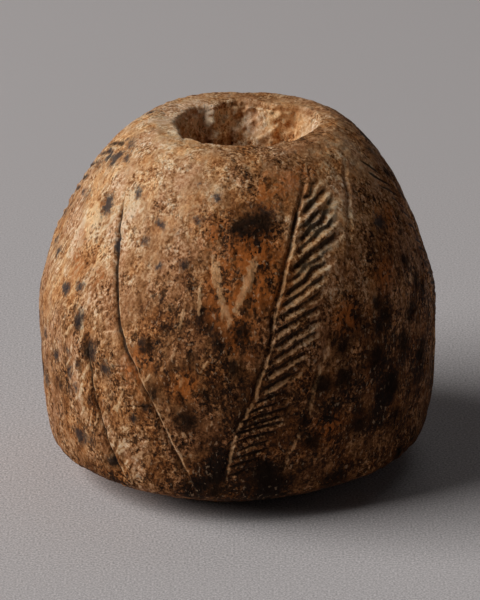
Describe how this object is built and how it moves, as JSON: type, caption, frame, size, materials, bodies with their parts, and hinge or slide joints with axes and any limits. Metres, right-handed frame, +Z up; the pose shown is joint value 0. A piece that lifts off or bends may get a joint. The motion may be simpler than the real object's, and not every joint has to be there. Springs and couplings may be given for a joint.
{
  "type": "clay spindle whorl",
  "caption": "Beehive-shaped fired clay spindle whorl with a flared central hole and incised feather bands in a zigzag.",
  "frame": {"origin": "under the middle of the whorl's box, on the flat underside that it stands on", "axes": "+Z up along the spindle hole, -Y towards the side with the lowest point of the front V of feather bands"},
  "size_m": [0.031, 0.031, 0.028],
  "materials": {
    "fired_clay": "burnished and worn, mottled brown with near-black spots"
  },
  "bodies": {
    "root": {"whorl": "fired_clay"}
  },
  "joints": []
}
